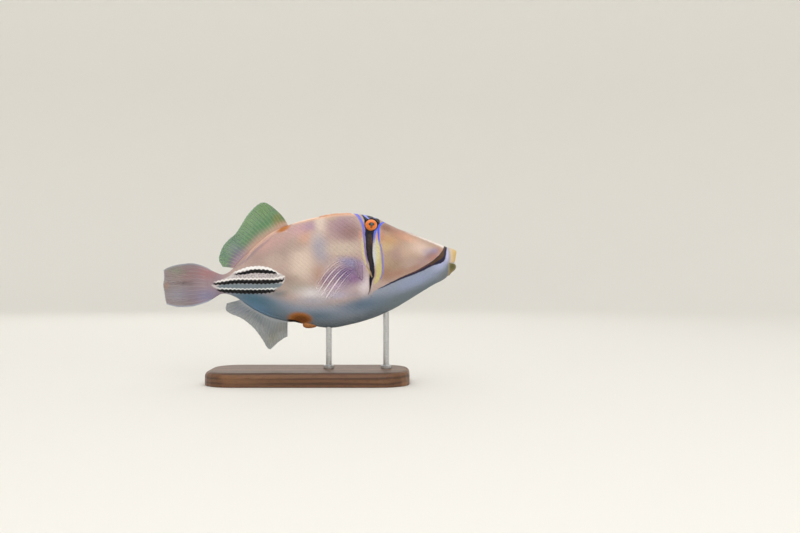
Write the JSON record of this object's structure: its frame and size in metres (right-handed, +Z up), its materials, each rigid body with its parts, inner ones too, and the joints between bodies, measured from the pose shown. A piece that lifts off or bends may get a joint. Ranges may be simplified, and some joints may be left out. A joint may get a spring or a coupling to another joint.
{
  "type": "picasso triggerfish model",
  "caption": "Life-size swimming picasso triggerfish with folded first dorsal spine, soft fins and paired fins, held by two rods on a flat display base.",
  "frame": {"origin": "centre of the underside of the display base", "axes": "+X towards the fish's snout, +Z up, +Y to the fish's left side"},
  "size_m": [0.2517, 0.084, 0.1544],
  "materials": {
    "skin": "scaled fish skin, moist satin, peach and mauve above, white below, with blue, black and yellow bars",
    "lip": "smooth moist yellow lip",
    "eye": "glossy orange iris with a dark green pupil",
    "spine": "rough satin spine and web, peach",
    "dorsal_membrane": "thin translucent fin web with rays, green to pink",
    "anal_membrane": "thin translucent grey-white fin web with rays",
    "tail_membrane": "thin translucent fin web with rays, pink above, grey-lavender below",
    "pectoral_membrane": "clear fin web with pale pink rays",
    "pelvic_scales": "rough scaly skin, orange brown",
    "stand_wood": "satin oiled walnut",
    "stand_steel": "brushed stainless steel rod"
  },
  "bodies": {
    "root": {"head": "skin", "torso": "skin", "tail": "skin", "upper_lip": "lip", "lower_lip": "lip", "eye_right": "eye", "eye_left": "eye", "dorsal_spines": "spine", "dorsal_fin": "dorsal_membrane", "anal_fin": "anal_membrane", "caudal_fin": "tail_membrane", "pectoral_fin_right": "pectoral_membrane", "pectoral_fin_left": "pectoral_membrane", "pelvic_spine": "pelvic_scales", "stand_base": "stand_wood", "stand_rod_front": "stand_steel", "stand_rod_rear": "stand_steel"}
  },
  "joints": []
}
